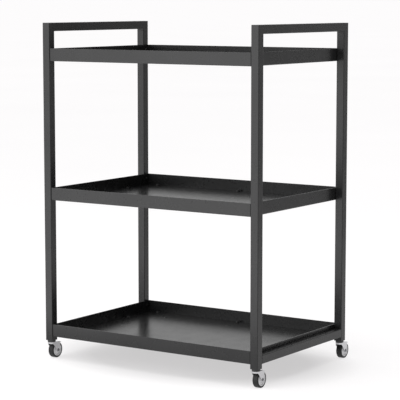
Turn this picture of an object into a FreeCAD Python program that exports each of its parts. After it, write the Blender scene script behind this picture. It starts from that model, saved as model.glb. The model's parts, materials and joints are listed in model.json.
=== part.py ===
"""Rolling utility cart: two welded side frames of square steel tube, three bolted tray shelves
with upturned lips, and four small swivel casters. Millimetres, +Z up, the floor at Z = 0.

The origin is on the floor, under the middle of the whole cart with its casters trailing towards
+Y (the back). X runs along the trays, and the handles are at the two X ends.
"""
import FreeCAD, Part
import os
import Sketcher

# alias, value, what it is. Lengths are in mm.
DIMENSIONS = [
    ("cart_width", 600, "over both side frames, along X"),
    ("cart_depth", 400, "of a side frame and of a tray, along Y"),
    ("cart_top", 805, "top face of the handle bars above the floor"),
    ("tube_size", 20, "outer side of the square tube"),
    ("tube_wall", 1.2, "wall of the square tube"),
    ("tube_corner", 1.6, "outer corner radius of the square tube"),
    ("leg_foot", 45, "lower end of the legs above the floor"),
    ("tray_low", 55, "underside of the bottom tray and of the bottom rails"),
    ("tray_pitch", 330, "from one tray to the next"),
    ("lip_height", 30, "of a tray's rim"),
    ("rim_gauge", 1.5, "metal of the angle rim"),
    ("rim_bend", 2, "outer bend radius of the rim's fold"),
    ("rim_corner", 1.5, "flat ground on the welded corners of the rim"),
    ("tray_inset", 1.3, "faces of the rim behind the faces of the legs, along Y"),
    ("rim_flange", 20, "width of the rim's flange under the panel"),
    ("panel_gauge", 1, "sheet of the tray's floor panel"),
    ("panel_gap", 0.8, "between the panel's edge and the rim's lip"),
    ("rivet_inset", 10, "rivet centres from the rim's outer faces"),
    ("rivet_long", 244, "from the middle rivet to the outer ones on a long side"),
    ("rivet_short", 94, "rivets on a short side from the tray's middle"),
    ("rivet_radius", 2.5, "shank of a rivet"),
    ("rivet_head", 4.5, "radius of a rivet's round head"),
    ("rivet_dome", 3, "height of a rivet's round head"),
    ("rivet_crown", 2.8, "rounding of a rivet's head"),
    ("rivet_sunk", 3.4, "radius of a rivet's flush end, countersunk in the flange"),
    ("bolt_height", 17, "tray bolts above the tray's underside"),
    ("bolt_radius", 2.5, "shank of a tray bolt"),
    ("bolt_reach", 11, "shank length of a tray bolt"),
    ("bolt_head", 4.5, "radius of a bolt's low round head"),
    ("bolt_button", 1.6, "height of a bolt's low round head"),
    ("bolt_crown", 1.3, "rounding of a bolt's head"),
    ("bolt_socket", 3, "across the flats of the head's hexagon socket"),
    ("socket_depth", 1, "of the hexagon socket"),
    ("nut_radius", 3.5, "body of a rivet nut"),
    ("nut_collar", 4.6, "radius of a rivet nut's collar behind the tube wall"),
    ("nut_grip", 2.5, "length of that collar"),
    ("nut_length", 10, "of a rivet nut"),
    ("play", 0.05, "radial clearance of a pin or shank in its hole"),
    ("plug_side", 17.4, "of the caster plug inside the leg"),
    ("plug_top", 65, "upper end of the caster plug above the floor"),
    ("plug_foot", 40.7, "lower edge of the plug's round collar above the floor"),
    ("plug_collar", 9.75, "radius of the plug's round collar"),
    ("plug_round", 1, "rounding of the collar's lower edge"),
    ("cup_radius", 8, "of the recess under the collar that hides the balls"),
    ("cup_roof", 43.4, "roof of that recess above the floor"),
    ("race_gauge", 0.8, "thickness of the steel race above the balls"),
    ("race_bore", 3.8, "bore radius of the race"),
    ("race_radius", 7.9, "outer radius of the race"),
    ("ball_radius", 0.95, "swivel bearing ball"),
    ("ball_circle", 6, "radius of the ring of balls"),
    ("ball_count", 10, "balls in one swivel bearing"),
    ("stem_radius", 3.5, "of the swivel stem"),
    ("stem_top", 62, "upper end of the stem above the floor"),
    ("stem_round", 0.8, "rounding of both ends of the stem"),
    ("stem_head", 5.4, "radius of the stem's riveted head"),
    ("stem_foot", 36.9, "lower face of the stem's head above the floor"),
    ("stem_head_top", 38.6, "upper face of the stem's head above the floor"),
    ("ring_radius", 2.9, "bottom of the grip groove near the stem's top"),
    ("ring_drop", 4, "upper side of the grip groove below the stem's top"),
    ("ring_width", 2, "of the grip groove"),
    ("caster_trail", 14, "axle behind the swivel axis"),
    ("wheel_radius", 19, "of the tyre"),
    ("wheel_width", 14, "of the tyre"),
    ("tyre_gauge", 4.2, "radial thickness of the tyre"),
    ("tyre_round", 1.8, "rounding of the tyre's two shoulders"),
    ("hub_web", 10, "thickness of the hub's disc"),
    ("hub_sink", 0.4, "hub's rim behind the tyre's face"),
    ("hub_rim", 2.2, "radial thickness of the hub's rim"),
    ("hub_boss", 4.6, "radius of the hub's boss"),
    ("hub_side", 15.2, "length of the hub's boss along the axle"),
    ("axle_radius", 2, "of the axle"),
    ("axle_head", 3.6, "radius of the axle's riveted heads"),
    ("axle_head_gauge", 0.8, "thickness of the axle's heads"),
    ("axle_head_round", 0.6, "rounding of the axle's heads"),
    ("fork_gauge", 1.2, "pressed sheet of the fork"),
    ("fork_width", 18.4, "over the fork's two cheeks"),
    ("fork_top", 40.2, "top of the fork above the floor"),
    ("fork_nose", 9.7, "front of the crown from the swivel axis"),
    ("fork_nose_round", 8.8, "plan rounding of the crown's front"),
    ("fork_skirt", 36.2, "lower edge of the crown's front above the floor"),
    ("fork_brow", 5, "where the cheeks' front edges start, before the swivel axis"),
    ("fork_cheek", 5, "half width of a cheek at the axle"),
    ("fork_tail", 7.5, "rear end of the hood behind the axle"),
    ("fork_tail_height", 36.8, "rear end of the hood above the floor"),
]

TRAYS = ("bottom", "middle", "top")
SIDES = {"left": -1, "right": 1}
ENDS = {"front": -1, "back": 1}
NEAR = 1e-3      # tolerance for picking edges and faces by their places
SHY = 0.05       # how far a fillet stops short of a full half round, which would leave no face beside it
PAST = 1         # how far a cutting sketch runs past the solid

doc = FreeCAD.newDocument("RollingCart")
sizes = doc.addObject("Spreadsheet::Sheet", "Sizes")
for row, (alias, number, meaning) in enumerate(DIMENSIONS, start=1):
    sizes.set(f"A{row}", alias)
    sizes.set(f"B{row}", str(number))
    sizes.setAlias(f"B{row}", alias)
    sizes.set(f"C{row}", meaning)
doc.recompute()

# Places that several pieces share, as expressions of the sheet.
HALF_TUBE = "Sizes.tube_size / 2"
LEG_X = "(Sizes.cart_width - Sizes.tube_size) / 2"
LEG_Y = "(Sizes.cart_depth - Sizes.tube_size) / 2"
LEG_LENGTH = "(Sizes.cart_top - Sizes.leg_foot)"
TRAY_WIDTH = "(Sizes.cart_width - 2 * Sizes.tube_size)"
TRAY_DEPTH = "(Sizes.cart_depth - 2 * Sizes.tray_inset)"
# The trailing wheels stand out behind the frame, so the frame's middle is this far before the origin.
SHIFT = "(Sizes.caster_trail + Sizes.wheel_radius - Sizes.tube_size / 2) / 2"
WHEEL_AXLE = "Sizes.wheel_radius"
HUB_RADIUS = "(Sizes.wheel_radius - Sizes.tyre_gauge)"
SINK = "(Sizes.rivet_sunk - Sizes.rivet_radius)"

nodes = []


def value(text):
    """The number that an expression of the sheet gives now."""
    found = sizes.evalExpression(text)
    return float(getattr(found, "Value", found))


def new_body(label):
    body = doc.addObject("PartDesign::Body", label)
    body.Label = label
    return body


def plane(body, role):
    return next(item for item in body.Origin.OriginFeatures if item.Role == role)


def new_sketch(body, role, label):
    """An empty sketch on one of the body's own planes."""
    sketch = body.newObject("Sketcher::SketchObject", label)
    sketch.AttachmentSupport = [(plane(body, role), "")]
    sketch.MapMode = "FlatFace"
    return sketch


def bind(sketch, kind, line, end, text):
    """Tie one coordinate, or a radius where end is None, to an expression."""
    where = (line,) if end is None else (line, end)
    index = sketch.addConstraint(Sketcher.Constraint(kind, *where, value(text)))
    sketch.setExpression(f"Constraints[{index}]", text)


def add_outline(sketch, corners):
    """A closed polygon whose corners are pairs of expressions."""
    first = sketch.GeometryCount
    spots = [FreeCAD.Vector(value(x), value(y), 0) for x, y in corners]
    for here, there in zip(spots, spots[1:] + spots[:1]):
        sketch.addGeometry(Part.LineSegment(here, there), False)
    for i, (x, y) in enumerate(corners):
        line, following = first + i, first + (i + 1) % len(corners)
        sketch.addConstraint(Sketcher.Constraint("Coincident", line, 2, following, 1))
        bind(sketch, "DistanceX", line, 1, x)
        bind(sketch, "DistanceY", line, 1, y)


def add_rectangle(sketch, half_x, half_y):
    """A rectangle about the sketch's origin."""
    add_outline(sketch, [(f"-({half_x})", f"-({half_y})"), (half_x, f"-({half_y})"),
                         (half_x, half_y), (f"-({half_x})", half_y)])


def add_circle(sketch, x, y, radius):
    circle = Part.Circle(FreeCAD.Vector(value(x), value(y), 0), FreeCAD.Vector(0, 0, 1), value(radius))
    index = sketch.addGeometry(circle, False)
    bind(sketch, "Radius", index, None, radius)
    bind(sketch, "DistanceX", index, 3, x)
    bind(sketch, "DistanceY", index, 3, y)


def feature(body, kind, label, sketch, length=None, both_ways=False, backwards=False):
    """A pad or pocket of a sketch, which goes through the whole body where no length is given."""
    made = body.newObject(f"PartDesign::{kind}", label)
    made.Profile = sketch
    if length is None:
        made.Type = "ThroughAll"
    else:
        made.setExpression("Length", length)
    made.Midplane = both_ways
    made.Reversed = backwards
    doc.recompute()
    return made


def revolve(body, label, sketch, axis):
    """A full turn of a sketch about its own H_Axis or V_Axis."""
    made = body.newObject("PartDesign::Revolution", label)
    made.Profile = sketch
    made.ReferenceAxis = (sketch, [axis])
    made.Angle = 360
    doc.recompute()
    return made


def round_edges(body, label, base, radius, chosen):
    """Fillet the edges of the base feature for which chosen(edge) is true."""
    names = [f"Edge{i}" for i, edge in enumerate(base.Shape.Edges, start=1) if chosen(edge)]
    made = body.newObject("PartDesign::Fillet", label)
    made.Base = (base, names)
    made.setExpression("Radius", radius)
    doc.recompute()
    return made


def along(edge, axis):
    """Is this a straight edge along X, Y or Z?"""
    ends = edge.BoundBox
    spans = {"X": ends.XLength, "Y": ends.YLength, "Z": ends.ZLength}
    return spans.pop(axis) > NEAR and max(spans.values()) < NEAR


def place(item, x="0", y="0", z="0"):
    """Put an object at expressions of the sheet, with Y counted from the middle of the frame."""
    item.setExpression(".Placement.Base.x", x)
    item.setExpression(".Placement.Base.y", f"{y} - {SHIFT}")
    item.setExpression(".Placement.Base.z", z)


def turn(item, axis, angle):
    item.Placement = FreeCAD.Placement(FreeCAD.Vector(), FreeCAD.Rotation(FreeCAD.Vector(*axis), angle))


def group(label, spots):
    """One node of several pieces: links to their patterns, each with its place and its turn about Z."""
    links = []
    for i, (pattern, x, y, z, angle) in enumerate(spots):
        link = doc.addObject("App::Link", f"{label}_{i}")
        link.LinkedObject = pattern
        turn(link, (0, 0, 1), angle)
        place(link, x, y, z)
        links.append(link)
    made = doc.addObject("Part::Compound", label)
    made.Label = label
    made.Links = links
    nodes.append(made)


def tube(label, length):
    """A length of square tube along local +Z, with its outer corners rounded."""
    body = new_body(label)
    section = new_sketch(body, "XY_Plane", f"{label}_section")
    add_rectangle(section, HALF_TUBE, HALF_TUBE)
    bore = f"{HALF_TUBE} - Sizes.tube_wall"
    add_rectangle(section, bore, bore)
    pad = feature(body, "Pad", f"{label}_pad", section, length)
    edge_of_tube = value(HALF_TUBE) - NEAR
    round_edges(body, f"{label}_corners", pad, "Sizes.tube_corner",
                lambda edge: along(edge, "Z") and abs(edge.CenterOfMass.x) > edge_of_tube)
    nodes.append(body)
    return body


def mitre(body, label, long_side, end, inwards):
    """Cut one end at 45 degrees. long_side is the sign of the local Y face that keeps its length."""
    cut = new_sketch(body, "YZ_Plane", f"{label}_sketch")
    far, near = f"{long_side} * {HALF_TUBE}", f"{-long_side} * {HALF_TUBE}"
    add_outline(cut, [(far, end), (near, end), (near, f"{end} + {inwards} * Sizes.tube_size")])
    feature(body, "Pocket", label, cut, both_ways=True)


def leg(side, end):
    """An upright: mitred for the handle bar, with three holes for the trays' rivet nuts."""
    label = f"{side}_{end}_leg"
    body = tube(label, LEG_LENGTH)
    mitre(body, f"{label}_mitre", ENDS[end], LEG_LENGTH, -1)
    holes = new_sketch(body, "YZ_Plane", f"{label}_hole_sketch")
    for level in range(len(TRAYS)):
        height = f"Sizes.tray_low + {level} * Sizes.tray_pitch + Sizes.bolt_height - Sizes.leg_foot"
        add_circle(holes, "0", height, "Sizes.nut_radius + Sizes.play")
    feature(body, "Pocket", f"{label}_holes", holes, "Sizes.tube_size", backwards=SIDES[side] < 0)
    place(body, f"{SIDES[side]} * {LEG_X}", f"{ENDS[end]} * {LEG_Y}", "Sizes.leg_foot")


def side_frame_bars(side):
    """The handle bar, mitred at both ends, and the plain bottom rail between the legs."""
    handle = tube(f"{side}_handle_bar", "Sizes.cart_depth")
    mitre(handle, f"{side}_handle_front_mitre", -1, "0", 1)
    mitre(handle, f"{side}_handle_back_mitre", -1, "Sizes.cart_depth", -1)
    turn(handle, (1, 0, 0), -90)
    place(handle, f"{SIDES[side]} * {LEG_X}", "-Sizes.cart_depth / 2", f"Sizes.cart_top - {HALF_TUBE}")

    rail_length = "(Sizes.cart_depth - 2 * Sizes.tube_size)"
    rail = tube(f"{side}_bottom_rail", rail_length)
    turn(rail, (1, 0, 0), -90)
    place(rail, f"{SIDES[side]} * {LEG_X}", f"-{rail_length} / 2", f"Sizes.tray_low + {HALF_TUBE}")


def rivet_spots():
    """Rivet centres about a tray's middle: three on each long side and two on each short side."""
    edge_x = f"({TRAY_WIDTH} / 2 - Sizes.rivet_inset)"
    edge_y = f"({TRAY_DEPTH} / 2 - Sizes.rivet_inset)"
    long_sides = [(f"{step} * Sizes.rivet_long", f"{end} * {edge_y}")
                  for end in ENDS.values() for step in (-1, 0, 1)]
    short_sides = [(f"{side} * {edge_x}", f"{end} * Sizes.rivet_short")
                   for side in SIDES.values() for end in ENDS.values()]
    return long_sides + short_sides


def rim_strip(label, length, rivets, bolts=()):
    """One side of a rim, folded up into the lip and in into the flange that carries the panel.

    It runs along local X with the lip's outer face at Y = 0, and is mitred for its neighbours.
    """
    body = new_body(label)
    profile = new_sketch(body, "YZ_Plane", f"{label}_profile")
    gauge, flange = "Sizes.rim_gauge", "Sizes.rim_flange"
    add_outline(profile, [("0", "0"), (flange, "0"), (flange, gauge), (gauge, gauge),
                          (gauge, "Sizes.lip_height"), ("0", "Sizes.lip_height")])
    strip = feature(body, "Pad", f"{label}_strip", profile, length, both_ways=True)
    inside = value(gauge)
    folded = round_edges(body, f"{label}_fold", strip, "Sizes.rim_bend", lambda edge: along(edge, "X")
                         and edge.CenterOfMass.y < NEAR and edge.CenterOfMass.z < NEAR)
    round_edges(body, f"{label}_fold_inside", folded, f"Sizes.rim_bend - {gauge}",
                lambda edge: along(edge, "X") and abs(edge.CenterOfMass.y - inside) < NEAR
                and abs(edge.CenterOfMass.z - inside) < NEAR)

    cut = new_sketch(body, "XY_Plane", f"{label}_cut_sketch")
    for end in ENDS.values():
        tip, flat = f"{end} * {length} / 2", f"{end} * Sizes.rim_corner"
        add_outline(cut, [(tip, "0"), (f"{tip} - {flat}", "0"),
                          (f"{tip} - {flat} / 2", "Sizes.rim_corner / 2"),
                          (f"{tip} - {end} * {flange}", flange), (tip, flange)])
    for x in rivets:
        add_circle(cut, x, "Sizes.rivet_inset", "Sizes.rivet_radius + Sizes.play")
    pierced = feature(body, "Pocket", f"{label}_mitres", cut, both_ways=True)
    sunk = body.newObject("PartDesign::Chamfer", f"{label}_sinks")
    sunk.Base = (pierced, [f"Edge{i}" for i, edge in enumerate(pierced.Shape.Edges, start=1)
                           if edge.Closed and edge.CenterOfMass.z < NEAR])
    sunk.setExpression("Size", SINK)
    doc.recompute()
    if bolts:
        holes = new_sketch(body, "XZ_Plane", f"{label}_bolt_sketch")
        for x in bolts:
            add_circle(holes, x, "Sizes.bolt_height", "Sizes.bolt_radius + Sizes.play")
        feature(body, "Pocket", f"{label}_bolt_holes", holes, both_ways=True)
    return body


def tray_rim(name, base, long_strip, short_strip):
    """Four folded strips, welded at their mitres."""
    strips = [(long_strip, "0", f"{end} * {TRAY_DEPTH} / 2", base, turned)
              for end, turned in ((-1, 0), (1, 180))]
    strips += [(short_strip, f"{side} * {TRAY_WIDTH} / 2", "0", base, turned)
               for side, turned in ((-1, -90), (1, 90))]
    group(f"{name}_tray_rim", strips)


def tray_panel(name, base):
    """The flat floor of a tray, which lies on the rim's flange."""
    label = f"{name}_tray_panel"
    body = new_body(label)
    outline = new_sketch(body, "XY_Plane", f"{label}_outline")
    edge = "(Sizes.rim_gauge + Sizes.panel_gap)"
    add_rectangle(outline, f"{TRAY_WIDTH} / 2 - {edge}", f"{TRAY_DEPTH} / 2 - {edge}")
    for x, y in rivet_spots():
        add_circle(outline, x, y, "Sizes.rivet_radius + Sizes.play")
    feature(body, "Pad", f"{label}_sheet", outline, "Sizes.panel_gauge")
    place(body, z=f"{base} + Sizes.rim_gauge")
    nodes.append(body)


def rivet_pattern():
    """A round-head rivet, set: the head stands on the panel and the other end is flush below."""
    body = new_body("rivet_pattern")
    profile = new_sketch(body, "XZ_Plane", "rivet_profile")
    joint = "(Sizes.rim_gauge + Sizes.panel_gauge)"
    add_outline(profile, [
        ("0", f"-{joint}"),
        ("Sizes.rivet_sunk", f"-{joint}"),
        ("Sizes.rivet_radius", f"-{joint} + {SINK}"),
        ("Sizes.rivet_radius", "0"),
        ("Sizes.rivet_head", "0"),
        ("Sizes.rivet_head", "Sizes.rivet_dome"),
        ("0", "Sizes.rivet_dome"),
    ])
    turned = revolve(body, "rivet_turned", profile, "V_Axis")
    head_top = value("Sizes.rivet_dome") - NEAR
    round_edges(body, "rivet_crown", turned, "Sizes.rivet_crown",
                lambda edge: edge.Closed and edge.CenterOfMass.z > head_top)
    return body


def bolt_pattern():
    """A low-head bolt along +X, with its hexagon socket. The head's seat is at local X = 0."""
    body = new_body("bolt_pattern")
    profile = new_sketch(body, "XZ_Plane", "bolt_profile")
    add_outline(profile, [
        ("-Sizes.bolt_button", "0"),
        ("Sizes.bolt_reach", "0"),
        ("Sizes.bolt_reach", "Sizes.bolt_radius"),
        ("0", "Sizes.bolt_radius"),
        ("0", "Sizes.bolt_head"),
        ("-Sizes.bolt_button", "Sizes.bolt_head"),
    ])
    turned = revolve(body, "bolt_turned", profile, "H_Axis")
    outer = -value("Sizes.bolt_button") + NEAR
    round_edges(body, "bolt_crown", turned, "Sizes.bolt_crown",
                lambda edge: edge.Closed and edge.CenterOfMass.x < outer)
    socket = new_sketch(body, "YZ_Plane", "bolt_socket_sketch")
    flat, corner = "Sizes.bolt_socket / 2", "Sizes.bolt_socket / sqrt(3)"
    add_outline(socket, [(f"{corner}", "0"), (f"{corner} / 2", flat), (f"-{corner} / 2", flat),
                         (f"-{corner}", "0"), (f"-{corner} / 2", f"-{flat}"), (f"{corner} / 2", f"-{flat}")])
    socket.setExpression(".AttachmentOffset.Base.z", "-Sizes.bolt_button")
    feature(body, "Pocket", "bolt_socket", socket, "Sizes.socket_depth", backwards=True)
    return body


def nut_pattern():
    """A rivet nut along +X: local X = 0 is the tube's face, and the collar grips behind the wall."""
    body = new_body("nut_pattern")
    profile = new_sketch(body, "XZ_Plane", "nut_profile")
    bore = "Sizes.bolt_radius + Sizes.play"
    add_outline(profile, [
        ("0", bore),
        ("Sizes.nut_length", bore),
        ("Sizes.nut_length", "Sizes.nut_radius"),
        ("Sizes.tube_wall + Sizes.nut_grip", "Sizes.nut_radius"),
        ("Sizes.tube_wall + Sizes.nut_grip", "Sizes.nut_collar"),
        ("Sizes.tube_wall", "Sizes.nut_collar"),
        ("Sizes.tube_wall", "Sizes.nut_radius"),
        ("0", "Sizes.nut_radius"),
    ])
    revolve(body, "nut_turned", profile, "H_Axis")
    return body


def tray(name, level, patterns):
    """A tray: rim, panel, rivets, the four bolts and their rivet nuts in the legs."""
    base = f"(Sizes.tray_low + {level} * Sizes.tray_pitch)"
    tray_rim(name, base, patterns["long_strip"], patterns["short_strip"])
    tray_panel(name, base)
    deck = f"{base} + Sizes.rim_gauge + Sizes.panel_gauge"
    group(f"{name}_tray_rivets", [(patterns["rivet"], x, y, deck, 0) for x, y in rivet_spots()])
    height = f"{base} + Sizes.bolt_height"
    bolts, nuts = [], []
    for side in SIDES.values():
        for end in ENDS.values():
            turned = 0 if side > 0 else 180
            seat, face = f"{side} * ({TRAY_WIDTH} / 2 - Sizes.rim_gauge)", f"{side} * {TRAY_WIDTH} / 2"
            bolts.append((patterns["bolt"], seat, f"{end} * {LEG_Y}", height, turned))
            nuts.append((patterns["nut"], face, f"{end} * {LEG_Y}", height, turned))
    group(f"{name}_tray_bolts", bolts)
    group(f"{name}_rivet_nuts", nuts)


def swivel_plug(label):
    """The plastic plug in the leg: square above, round collar below, with the cup for the balls."""
    body = new_body(label)
    square = new_sketch(body, "XY_Plane", f"{label}_square")
    square.setExpression(".AttachmentOffset.Base.z", "Sizes.leg_foot")
    add_rectangle(square, "Sizes.plug_side / 2", "Sizes.plug_side / 2")
    feature(body, "Pad", f"{label}_block", square, "Sizes.plug_top - Sizes.leg_foot")
    collar = new_sketch(body, "XY_Plane", f"{label}_circle")
    collar.setExpression(".AttachmentOffset.Base.z", "Sizes.plug_foot")
    add_circle(collar, "0", "0", "Sizes.plug_collar")
    disc = feature(body, "Pad", f"{label}_collar", collar, "Sizes.leg_foot - Sizes.plug_foot")
    foot = value("Sizes.plug_foot") + NEAR
    round_edges(body, f"{label}_round", disc, "Sizes.plug_round",
                lambda edge: edge.Closed and edge.CenterOfMass.z < foot)
    cup = new_sketch(body, "XZ_Plane", f"{label}_cup_profile")
    bore = "Sizes.stem_radius + Sizes.play"
    add_outline(cup, [
        ("0", f"Sizes.plug_foot - {PAST}"),
        ("Sizes.cup_radius", f"Sizes.plug_foot - {PAST}"),
        ("Sizes.cup_radius", "Sizes.cup_roof"),
        (bore, "Sizes.cup_roof"),
        (bore, "Sizes.stem_top + Sizes.play"),
        ("0", "Sizes.stem_top + Sizes.play"),
    ])
    groove = body.newObject("PartDesign::Groove", f"{label}_cup")
    groove.Profile = cup
    groove.ReferenceAxis = (cup, ["V_Axis"])
    groove.Angle = 360
    doc.recompute()
    return body


def swivel_stem(label):
    """The steel stem: riveted head under the fork's crown, grip groove near the top."""
    body = new_body(label)
    profile = new_sketch(body, "XZ_Plane", f"{label}_profile")
    groove_top = "Sizes.stem_top - Sizes.ring_drop"
    groove_foot = f"{groove_top} - Sizes.ring_width"
    add_outline(profile, [
        ("0", "Sizes.stem_foot"),
        ("Sizes.stem_head", "Sizes.stem_foot"),
        ("Sizes.stem_head", "Sizes.stem_head_top"),
        ("Sizes.stem_radius", "Sizes.stem_head_top"),
        ("Sizes.stem_radius", groove_foot),
        ("Sizes.ring_radius", groove_foot),
        ("Sizes.ring_radius", groove_top),
        ("Sizes.stem_radius", groove_top),
        ("Sizes.stem_radius", "Sizes.stem_top"),
        ("0", "Sizes.stem_top"),
    ])
    turned = revolve(body, f"{label}_turned", profile, "V_Axis")
    foot, top = value("Sizes.stem_foot") + NEAR, value("Sizes.stem_top") - NEAR
    round_edges(body, f"{label}_ends", turned, "Sizes.stem_round",
                lambda edge: edge.Closed and not foot < edge.CenterOfMass.z < top)
    return body


def swivel_race(label):
    """The flat steel race that the balls run under, against the roof of the plug's cup."""
    body = new_body(label)
    ring = new_sketch(body, "XY_Plane", f"{label}_ring")
    ring.setExpression(".AttachmentOffset.Base.z", "Sizes.cup_roof - Sizes.race_gauge")
    add_circle(ring, "0", "0", "Sizes.race_radius")
    add_circle(ring, "0", "0", "Sizes.race_bore")
    feature(body, "Pad", f"{label}_pad", ring, "Sizes.race_gauge")
    return body


def swivel_balls(label):
    """The ring of bearing balls, just under the race."""
    body = new_body(label)
    body.AllowCompound = True
    ball = body.newObject("PartDesign::AdditiveSphere", f"{label}_ball")
    ball.AttachmentSupport = [(plane(body, "XY_Plane"), "")]
    ball.MapMode = "FlatFace"
    ball.setExpression("Radius", "Sizes.ball_radius")
    ball.setExpression(".AttachmentOffset.Base.x", "Sizes.ball_circle")
    ball.setExpression(".AttachmentOffset.Base.z",
                       "Sizes.cup_roof - Sizes.race_gauge - Sizes.ball_radius - Sizes.play")
    doc.recompute()
    ring = body.newObject("PartDesign::PolarPattern", f"{label}_ring")
    ring.Originals = [ball]
    ring.Axis = (plane(body, "Z_Axis"), [""])
    ring.Angle = 360
    ring.setExpression("Occurrences", "Sizes.ball_count")
    body.Tip = ring
    doc.recompute()
    return body


def fork(label):
    """The pressed fork: a crown over the wheel, a hood behind it, and two cheeks down to the axle."""
    body = new_body(label)
    nose, cheek_foot = "-Sizes.fork_nose", f"({WHEEL_AXLE} - Sizes.fork_cheek)"
    hood = f"(Sizes.fork_top - {WHEEL_AXLE})"
    tail = f"(Sizes.caster_trail + {hood})"

    side_view = new_sketch(body, "YZ_Plane", f"{label}_side_view")
    add_outline(side_view, [(nose, cheek_foot), (tail, cheek_foot),
                            (tail, "Sizes.fork_top"), (nose, "Sizes.fork_top")])
    block = feature(body, "Pad", f"{label}_block", side_view, "Sizes.fork_width", both_ways=True)
    front, back, top = value(nose) + NEAR, value(tail) - NEAR, value("Sizes.fork_top") - NEAR
    hooded = round_edges(body, f"{label}_hood", block, f"{hood} - {SHY}", lambda edge: along(edge, "X")
                         and edge.CenterOfMass.y > back and edge.CenterOfMass.z > top)
    nosed = round_edges(body, f"{label}_nose", hooded, "Sizes.fork_nose_round",
                        lambda edge: along(edge, "Z") and edge.CenterOfMass.y < front)
    foot = value(cheek_foot) + NEAR
    mouth = [f"Face{i}" for i, face in enumerate(nosed.Shape.Faces, start=1)
             if face.CenterOfMass.z < foot]
    shell = body.newObject("PartDesign::Thickness", f"{label}_shell")
    shell.Base = (nosed, mouth)
    shell.setExpression("Value", "Sizes.fork_gauge")
    shell.Reversed = True
    doc.recompute()

    cheek_front = "(Sizes.caster_trail - Sizes.fork_cheek)"
    cheek_back = "(Sizes.caster_trail + Sizes.fork_cheek)"
    under = f"{cheek_foot} - {PAST}"
    cut = new_sketch(body, "YZ_Plane", f"{label}_cut_sketch")
    add_outline(cut, [(f"{nose} - {PAST}", "Sizes.fork_skirt"), ("-Sizes.fork_brow", "Sizes.fork_skirt"),
                      (cheek_front, WHEEL_AXLE), (cheek_front, under), (f"{nose} - {PAST}", under)])
    add_outline(cut, [(f"{tail} + {PAST}", "Sizes.fork_tail_height"),
                      ("Sizes.caster_trail + Sizes.fork_tail", "Sizes.fork_tail_height"),
                      (cheek_back, WHEEL_AXLE), (cheek_back, under), (f"{tail} + {PAST}", under)])
    tapered = feature(body, "Pocket", f"{label}_taper", cut, both_ways=True)
    round_edges(body, f"{label}_cheeks", tapered, f"Sizes.fork_cheek - {SHY}",
                lambda edge: along(edge, "X") and edge.CenterOfMass.z < foot)

    axle_hole = new_sketch(body, "YZ_Plane", f"{label}_axle_hole")
    add_circle(axle_hole, "Sizes.caster_trail", WHEEL_AXLE, "Sizes.axle_radius + Sizes.play")
    feature(body, "Pocket", f"{label}_axle_bore", axle_hole, both_ways=True)
    stem_hole = new_sketch(body, "XY_Plane", f"{label}_stem_hole")
    add_circle(stem_hole, "0", "0", "Sizes.stem_radius + Sizes.play")
    feature(body, "Pocket", f"{label}_stem_bore", stem_hole, both_ways=True)
    return body


def axle(label):
    """The wheel's axle along X, riveted over outside both cheeks."""
    body = new_body(label)
    profile = new_sketch(body, "XZ_Plane", f"{label}_profile")
    inner, outer = "Sizes.fork_width / 2", "(Sizes.fork_width / 2 + Sizes.axle_head_gauge)"
    add_outline(profile, [
        (f"-{outer}", "0"), (outer, "0"), (outer, "Sizes.axle_head"), (inner, "Sizes.axle_head"),
        (inner, "Sizes.axle_radius"), (f"-{inner}", "Sizes.axle_radius"),
        (f"-{inner}", "Sizes.axle_head"), (f"-{outer}", "Sizes.axle_head"),
    ])
    turned = revolve(body, f"{label}_turned", profile, "H_Axis")
    tip = value(outer) - NEAR
    round_edges(body, f"{label}_heads", turned, "Sizes.axle_head_round",
                lambda edge: edge.Closed and abs(edge.CenterOfMass.x) > tip)
    return body


def hub(label):
    """The wheel's plastic centre: boss, slightly sunk disc and the rim that carries the tyre."""
    body = new_body(label)
    profile = new_sketch(body, "XZ_Plane", f"{label}_profile")
    bore, boss, side = "(Sizes.axle_radius + Sizes.play)", "Sizes.hub_boss", "Sizes.hub_side / 2"
    web, rim = "Sizes.hub_web / 2", f"({HUB_RADIUS} - Sizes.hub_rim)"
    edge = "(Sizes.wheel_width / 2 - Sizes.hub_sink)"
    add_outline(profile, [
        (f"-{side}", bore), (side, bore), (side, boss), (web, boss), (web, rim), (edge, rim),
        (edge, HUB_RADIUS), (f"-{edge}", HUB_RADIUS), (f"-{edge}", rim), (f"-{web}", rim),
        (f"-{web}", boss), (f"-{side}", boss),
    ])
    revolve(body, f"{label}_turned", profile, "H_Axis")
    return body


def tyre(label):
    """The solid rubber tyre, rounded at both shoulders."""
    body = new_body(label)
    profile = new_sketch(body, "XZ_Plane", f"{label}_profile")
    half, radius = "Sizes.wheel_width / 2", "Sizes.wheel_radius"
    add_outline(profile, [(f"-{half}", HUB_RADIUS), (half, HUB_RADIUS), (half, radius), (f"-{half}", radius)])
    turned = revolve(body, f"{label}_turned", profile, "H_Axis")
    tread = value(radius) - NEAR
    round_edges(body, f"{label}_shoulders", turned, "Sizes.tyre_round",
                lambda edge: edge.Closed and edge.Curve.Radius > tread)
    return body


def caster(side, end):
    """One caster, in the leg of its corner, trailing towards the back."""
    name = f"{side}_{end}"
    x, y = f"{SIDES[side]} * {LEG_X}", f"{ENDS[end]} * {LEG_Y}"
    on_swivel = {"caster_plug": swivel_plug, "caster_stem": swivel_stem, "swivel_race": swivel_race,
                 "swivel_balls": swivel_balls, "caster_fork": fork}
    for piece, make in on_swivel.items():
        body = make(f"{name}_{piece}")
        place(body, x, y)
        nodes.append(body)
    for piece, make in {"wheel_axle": axle, "wheel_hub": hub, "wheel_tyre": tyre}.items():
        body = make(f"{name}_{piece}")
        place(body, x, f"{y} + Sizes.caster_trail", WHEEL_AXLE)
        nodes.append(body)


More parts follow.
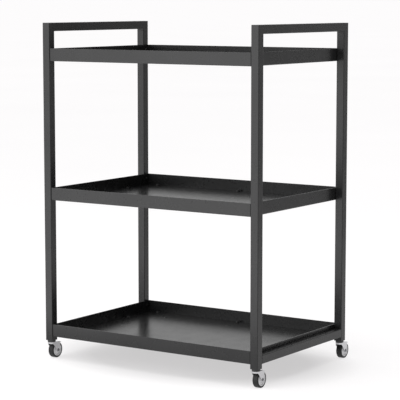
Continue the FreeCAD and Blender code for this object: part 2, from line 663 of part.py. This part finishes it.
for side in SIDES:
    for end in ENDS:
        leg(side, end)
    side_frame_bars(side)
long_rivets = [f"{step} * Sizes.rivet_long" for step in (-1, 0, 1)]
short_rivets = [f"{end} * Sizes.rivet_short" for end in ENDS.values()]
leg_bolts = [f"{end} * {LEG_Y}" for end in ENDS.values()]
patterns = {
    "long_strip": rim_strip("long_strip", TRAY_WIDTH, long_rivets),
    "short_strip": rim_strip("short_strip", TRAY_DEPTH, short_rivets, leg_bolts),
    "rivet": rivet_pattern(),
    "bolt": bolt_pattern(),
    "nut": nut_pattern(),
}
for level, name in enumerate(TRAYS):
    tray(name, level, patterns)
for side in SIDES:
    for end in ENDS:
        caster(side, end)
doc.recompute()

failed = [item.Name for item in doc.Objects if {"Invalid", "Error"} & set(item.State)]
if failed:
    raise RuntimeError(f"failed features: {failed}")
for node in nodes:
    if node.Shape.isNull() or not node.Shape.isValid():
        raise RuntimeError(f"bad shape: {node.Label}")

os.makedirs("parts", exist_ok=True)
for node in nodes:
    node.Shape.exportStep(f"parts/{node.Label}.step")
print(f"{len(nodes)} nodes, {sum(len(node.Shape.Solids) for node in nodes)} solids")
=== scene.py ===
"""Rolling utility cart in satin black powder coat on small chrome casters, in a plain white studio."""

import json
import math

import bpy
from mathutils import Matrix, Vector


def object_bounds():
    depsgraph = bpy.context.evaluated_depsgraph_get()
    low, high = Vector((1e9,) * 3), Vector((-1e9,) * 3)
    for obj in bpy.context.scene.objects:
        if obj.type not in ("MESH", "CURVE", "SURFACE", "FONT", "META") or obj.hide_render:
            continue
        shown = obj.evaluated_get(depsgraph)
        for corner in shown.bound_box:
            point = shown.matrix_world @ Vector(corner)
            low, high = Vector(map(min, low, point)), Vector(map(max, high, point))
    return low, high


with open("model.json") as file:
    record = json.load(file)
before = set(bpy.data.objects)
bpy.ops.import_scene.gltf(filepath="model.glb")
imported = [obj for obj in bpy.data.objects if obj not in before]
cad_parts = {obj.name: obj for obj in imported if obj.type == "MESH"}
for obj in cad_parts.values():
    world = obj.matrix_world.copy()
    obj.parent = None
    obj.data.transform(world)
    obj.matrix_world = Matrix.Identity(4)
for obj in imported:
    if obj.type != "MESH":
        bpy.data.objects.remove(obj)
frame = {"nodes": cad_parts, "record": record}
cad_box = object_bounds()

nodes = frame["nodes"]
scene = bpy.context.scene
MM = 0.001
COAT_IOR = 1.38                      # a low index, so the coat mirrors a white room only faintly
BLACK = (0.0135, 0.0135, 0.0139)     # the coat's own colour, under what it mirrors

FLOOR_SIZE = 4000.0                  # so large that its far edge lies on the horizon
CART_HALF = (0.30, 0.21)             # half the cart's width and depth, which the floor's glow and its painted shadow follow
GLOW_IN_PAINTED_SHADOW, GLOW_FAR = 0.56, 0.75     # the floor's own light under the cart and away from it; dimmer under the cart as a painted shadow
PAINTED_SHADOW_FADE = (0.95, 1.40)             # where the glow starts and stops growing out of its painted shadow, in cart halves

BRIGHT_SIDE = (-0.900, -0.436, 0.0)  # the room is brightest in this direction, the cart's left
ROOM_DIM, ROOM_BRIGHT = 0.08, 1.42   # strength on the right and on the left

# name, shape, place, the point that it faces, size and radiance
SOFTBOXES = (
    ("overhead_softbox", "RECTANGLE", (0.2, -0.5, 3.0), (0.0, 0.0, 0.3), (2.6, 2.2), 1.8),
    ("front_left_softbox", "RECTANGLE", (-1.2, -3.0, 1.15), (0.0, 0.0, 0.6), (2.6, 2.2), 1.75),
    ("low_softbox", "ELLIPSE", (-0.80, -1.70, 0.02), (-0.80, -1.70, 1.0), (2.6, 2.6), 1.6),
)
BOARD_PLACE, BOARD_TARGET, BOARD_SIZE = (1.15, 1.75, 0.55), (0.0, 0.0, 0.55), (0.9, 1.1)

CAMERA_AZIMUTH, CAMERA_ELEVATION = 33.8, 6.82    # degrees
CAMERA_DISTANCE = 4.0274
CAMERA_LENS = 151.62
CAMERA_ASIDE = (3.6 * MM, 2.6 * MM)              # what it looks at, from the middle of the cart's box
CAMERA_HEIGHT = 383.3 * MM


# ---------------------------------------------------------------- node helpers

class Shader:
    """One material under construction: adds nodes, links them, and keeps the Principled shader."""

    def __init__(self, name):
        self.material = bpy.data.materials.new(name)
        self.material.use_nodes = True
        self.tree = self.material.node_tree
        self.bsdf = self.tree.nodes["Principled BSDF"]
        self.place = self.add("ShaderNodeTexCoord").outputs["Object"]

    def add(self, kind, **settings):
        node = self.tree.nodes.new(kind)
        for key, setting in settings.items():
            setattr(node, key, setting)
        return node

    def link(self, source, target):
        self.tree.links.new(source, target)

    def noise(self, scale, detail=2.0, roughness=0.5):
        """Noise with this many features to a metre of the object."""
        node = self.add("ShaderNodeTexNoise")
        node.inputs["Scale"].default_value = scale
        node.inputs["Detail"].default_value = detail
        node.inputs["Roughness"].default_value = roughness
        self.link(self.place, node.inputs["Vector"])
        return node.outputs["Fac"]

    def spread(self, value, low, high, to_low=0.0, to_high=1.0):
        """Map low..high of a value to to_low..to_high, and clamp it there."""
        node = self.add("ShaderNodeMapRange")
        for key, number in (("From Min", low), ("From Max", high), ("To Min", to_low), ("To Max", to_high)):
            node.inputs[key].default_value = number
        self.link(value, node.inputs["Value"])
        return node.outputs["Result"]

    def blend(self, factor, first, second):
        """A colour between two colours."""
        node = self.add("ShaderNodeMix", data_type="RGBA")
        self.link(factor, node.inputs["Factor"])
        for socket, colour in (("A", first), ("B", second)):
            target = next(s for s in node.inputs if s.name == socket and s.type == "RGBA")
            if isinstance(colour, tuple):
                target.default_value = (*colour, 1.0)
            else:
                self.link(colour, target)
        return next(s for s in node.outputs if s.type == "RGBA")

    def bump(self, height, strength, distance, below=None):
        """Relief from a height, laid over the relief below it, if any."""
        node = self.add("ShaderNodeBump")
        node.inputs["Strength"].default_value = strength
        node.inputs["Distance"].default_value = distance
        self.link(height, node.inputs["Height"])
        if below is not None:
            self.link(below, node.inputs["Normal"])
        return node.outputs["Normal"]

    def math(self, operation, a, b):
        node = self.add("ShaderNodeMath", operation=operation)
        for socket, operand in zip(node.inputs, (a, b)):
            if isinstance(operand, (int, float)):
                socket.default_value = operand
            else:
                self.link(operand, socket)
        return node.outputs["Value"]

    def edges(self, radius):
        """How sharply the surface turns nearby: near 1 on flat stretches, lower on edges."""
        bevel = self.add("ShaderNodeBevel", samples=4)
        bevel.inputs["Radius"].default_value = radius
        geometry = self.add("ShaderNodeNewGeometry")
        dot = self.add("ShaderNodeVectorMath", operation="DOT_PRODUCT")
        self.link(bevel.outputs["Normal"], dot.inputs[0])
        self.link(geometry.outputs["True Normal"], dot.inputs[1])
        return dot.outputs["Value"]

    def finish(self, colour, roughness, normal=None):
        """Link what the surface is made of, and hand over the material."""
        for source, socket in ((colour, "Base Color"), (roughness, "Roughness"), (normal, "Normal")):
            if source is not None:
                self.link(source, self.bsdf.inputs[socket])
        return self.material


# ---------------------------------------------------------------- materials

def powder_coat(name, tone, shine, grain):
    """Satin black powder coat: a fine orange-peel skin, faint cloudiness and slightly burnished edges."""
    s = Shader(name)
    s.bsdf.inputs["Metallic"].default_value = 0.0
    s.bsdf.inputs["IOR"].default_value = COAT_IOR
    cloud = s.noise(9.0, detail=3.0)
    speck = s.noise(2600.0, detail=1.0)
    darker, lighter = (tuple(c * k for c in tone) for k in (0.86, 1.16))
    colour = s.blend(s.spread(cloud, 0.3, 0.7), darker, lighter)
    colour = s.blend(s.spread(speck, 0.62, 0.75, 0.0, 0.35), colour, tuple(c * 1.9 for c in tone))
    worn = s.spread(s.edges(1.2 * MM), 0.995, 0.90, 0.0, 0.8)
    colour = s.blend(worn, colour, tuple(c * 1.8 for c in tone))
    smudge = s.spread(s.noise(26.0, detail=4.0, roughness=0.6), 0.3, 0.75, shine - 0.03, shine + 0.03)
    roughness = s.math("SUBTRACT", smudge, s.math("MULTIPLY", worn, 0.08))
    peel = s.noise(900.0, detail=2.0)
    skin = s.bump(peel, grain, 0.06 * MM)
    skin = s.bump(speck, grain * 0.6, 0.02 * MM, below=skin)
    return s.finish(colour, roughness, skin)


def chrome(name):
    """Bright plating on a pressed part: near mirror, with fine drawing lines and light handling marks."""
    s = Shader(name)
    s.bsdf.inputs["Metallic"].default_value = 1.0
    dull = s.noise(320.0, detail=4.0, roughness=0.65)
    colour = s.blend(s.spread(dull, 0.35, 0.7), (0.57, 0.57, 0.58), (0.49, 0.49, 0.505))
    roughness = s.spread(dull, 0.3, 0.75, 0.10, 0.20)
    ripple = s.bump(s.noise(240.0, detail=2.0), 0.10, 0.05 * MM)
    return s.finish(colour, roughness, ripple)


def steel(name, tone, low, high):
    """Plated or polished steel with a faint cloudy passivation."""
    s = Shader(name)
    s.bsdf.inputs["Metallic"].default_value = 1.0
    cloud = s.noise(420.0, detail=3.0)
    colour = s.blend(s.spread(cloud, 0.35, 0.65), tone, tuple(c * 0.8 for c in tone))
    roughness = s.spread(cloud, 0.3, 0.7, low, high)
    grain = s.bump(s.noise(1500.0, detail=2.0), 0.12, 0.02 * MM)
    return s.finish(colour, roughness, grain)


def moulded(name, tone, shine, texture):
    """Moulded plastic with a fine eroded skin."""
    s = Shader(name)
    cloud = s.noise(140.0, detail=3.0)
    colour = s.blend(s.spread(cloud, 0.3, 0.7), tuple(c * 0.92 for c in tone), tuple(c * 1.06 for c in tone))
    roughness = s.spread(s.noise(380.0, detail=3.0), 0.3, 0.7, shine - 0.06, shine + 0.06)
    skin = s.bump(s.noise(2200.0, detail=2.0), texture, 0.04 * MM)
    return s.finish(colour, roughness, skin)


def rubber(name):
    """Black tyre rubber: matt, lightly dusted, with a faint mould texture."""
    s = Shader(name)
    s.bsdf.inputs["Specular IOR Level"].default_value = 0.30
    dust = s.noise(160.0, detail=5.0, roughness=0.6)
    colour = s.blend(s.spread(dust, 0.52, 0.8, 0.0, 0.55), (0.010, 0.010, 0.0105), (0.034, 0.033, 0.032))
    roughness = s.spread(dust, 0.3, 0.75, 0.42, 0.62)
    skin = s.bump(s.noise(1700.0, detail=3.0), 0.35, 0.05 * MM)
    return s.finish(colour, roughness, skin)


MATERIALS = {
    "powder_coated_tube": powder_coat("coat_tube", BLACK, 0.28, 0.14),
    "powder_coated_rim": powder_coat("coat_rim", BLACK, 0.28, 0.14),
    # the trays' coat is a darker copy of the tube coat: painted shade for the shaded tray insides
    "powder_coated_panel": powder_coat("coat_panel_painted_shade", tuple(c * 0.8 for c in BLACK), 0.25, 0.10),
    "black_fasteners": powder_coat("coat_fastener", tuple(c * 0.9 for c in BLACK), 0.30, 0.10),
    "zinc_steel": steel("zinc_steel", (0.62, 0.62, 0.60), 0.24, 0.38),
    "dark_steel": steel("dark_steel", (0.17, 0.17, 0.18), 0.26, 0.40),
    "bearing_steel": steel("bearing_steel", (0.72, 0.72, 0.72), 0.08, 0.16),
    "chrome_fork": chrome("chrome_fork"),
    "grey_hub": moulded("grey_hub", (0.70, 0.70, 0.71), 0.36, 0.25),
    "black_plastic": moulded("black_plastic", (0.010, 0.010, 0.0105), 0.42, 0.4),
    "black_tyre": rubber("black_tyre"),
}


def dress(node, material):
    """Give one carried-over part its material."""
    mesh = nodes[node].data
    mesh.materials.clear()
    mesh.materials.append(material)


for entry in frame["record"]["subparts"]:
    dress(entry["node"], MATERIALS[entry["material_slot"]])


# ---------------------------------------------------------------- studio

def studio_floor():
    """A white floor that runs to the horizon. It glows, so the shadow on it stays light. Its glow is dimmer
    under the cart: a painted shadow.
    """
    bpy.ops.mesh.primitive_plane_add(size=FLOOR_SIZE, location=(0.0, 0.0, 0.0))
    floor = bpy.context.object
    floor.name = "studio_floor"
    s = Shader("studio_white_glow_painted_shadow")
    s.bsdf.inputs["Specular IOR Level"].default_value = 0.0
    s.bsdf.inputs["Emission Color"].default_value = (1.0, 0.985, 0.99, 1.0)
    flat = s.add("ShaderNodeVectorMath", operation="MULTIPLY")
    s.link(s.place, flat.inputs[0])
    flat.inputs[1].default_value = (1 / CART_HALF[0], 1 / CART_HALF[1], 0.0)
    apart = s.add("ShaderNodeVectorMath", operation="LENGTH")
    s.link(flat.outputs["Vector"], apart.inputs[0])
    # painted shadow: the floor's glow is weaker near the cart and grows away from it
    glow_with_painted_shadow = s.spread(apart.outputs["Value"], *PAINTED_SHADOW_FADE, GLOW_IN_PAINTED_SHADOW, GLOW_FAR)
    s.link(glow_with_painted_shadow, s.bsdf.inputs["Emission Strength"])
    paper = s.noise(0.6, detail=2.0)
    colour = s.blend(s.spread(paper, 0.3, 0.7), (0.30, 0.30, 0.30), (0.32, 0.32, 0.32))
    floor.data.materials.append(s.finish(colour, s.spread(paper, 0.3, 0.7, 0.9, 0.95)))


def facing(place, target, axis):
    """The turn that points an object's axis from its place to a target."""
    return (Vector(target) - Vector(place)).to_track_quat(axis, "Y").to_euler()


def reflection_board():
    """A dim board that only reflections show. It keeps the faces towards the back right dark."""
    bpy.ops.mesh.primitive_plane_add(size=1.0, location=BOARD_PLACE)
    board = bpy.context.object
    board.name = "reflection_board"
    board.scale = (*BOARD_SIZE, 1.0)
    board.rotation_euler = facing(BOARD_PLACE, BOARD_TARGET, "Z")
    board.visible_camera = board.visible_shadow = board.visible_diffuse = False
    s = Shader("board_grey")
    s.bsdf.inputs["Specular IOR Level"].default_value = 0.0
    felt = s.noise(4.0, detail=2.0)
    colour = s.blend(s.spread(felt, 0.3, 0.7), (0.42, 0.42, 0.42), (0.46, 0.46, 0.46))
    board.data.materials.append(s.finish(colour, s.spread(felt, 0.3, 0.7, 0.9, 0.95)))


def softbox(name, shape, place, target, size, radiance):
    """An area light whose brightness is given as its radiance. The camera doesn't see it."""
    light = bpy.data.lights.new(name, "AREA")
    light.shape = shape
    light.size, light.size_y = size
    face = size[0] * size[1] * (math.pi / 4 if shape == "ELLIPSE" else 1.0)
    light.energy = radiance * math.pi * face
    lamp = bpy.data.objects.new(name, light)
    scene.collection.objects.link(lamp)
    lamp.location = place
    lamp.rotation_euler = facing(place, target, "-Z")
    lamp.visible_camera = False


def studio_room():
    """A pale room that is bright on the cart's left and dim on its right."""
    world = bpy.data.worlds.new("studio_world")
    scene.world = world
    world.use_nodes = True
    tree = world.node_tree
    backdrop = tree.nodes["Background"]
    backdrop.inputs["Color"].default_value = (1.0, 1.0, 1.0, 1.0)
    direction = tree.nodes.new("ShaderNodeTexCoord").outputs["Generated"]
    leftward = tree.nodes.new("ShaderNodeVectorMath")
    leftward.operation = "DOT_PRODUCT"
    tree.links.new(direction, leftward.inputs[0])
    leftward.inputs[1].default_value = BRIGHT_SIDE
    ramp = tree.nodes.new("ShaderNodeMapRange")
    tree.links.new(leftward.outputs["Value"], ramp.inputs["Value"])
    for key, number in (("From Min", -1.0), ("From Max", 1.0), ("To Min", ROOM_DIM), ("To Max", ROOM_BRIGHT)):
        ramp.inputs[key].default_value = number
    tree.links.new(ramp.outputs["Result"], backdrop.inputs["Strength"])


def camera():
    """From the cart's front right, slightly above: a long lens, so that the uprights stay parallel."""
    low, high = cad_box
    middle = (Vector(low) + Vector(high)) / 2
    target = Vector((middle.x + CAMERA_ASIDE[0], middle.y + CAMERA_ASIDE[1], CAMERA_HEIGHT))
    azimuth, elevation = math.radians(CAMERA_AZIMUTH), math.radians(CAMERA_ELEVATION)
    away = Vector((math.sin(azimuth) * math.cos(elevation), -math.cos(azimuth) * math.cos(elevation),
                   math.sin(elevation)))
    data = bpy.data.cameras.new("camera")
    data.sensor_width = 36.0
    data.lens = CAMERA_LENS
    shot = bpy.data.objects.new("camera", data)
    scene.collection.objects.link(shot)
    shot.location = target + away * CAMERA_DISTANCE
    shot.rotation_euler = (-away).to_track_quat("-Z", "Y").to_euler()
    scene.camera = shot


studio_floor()
reflection_board()
studio_room()
for setting in SOFTBOXES:
    softbox(*setting)
camera()
scene.view_settings.view_transform = "Standard"
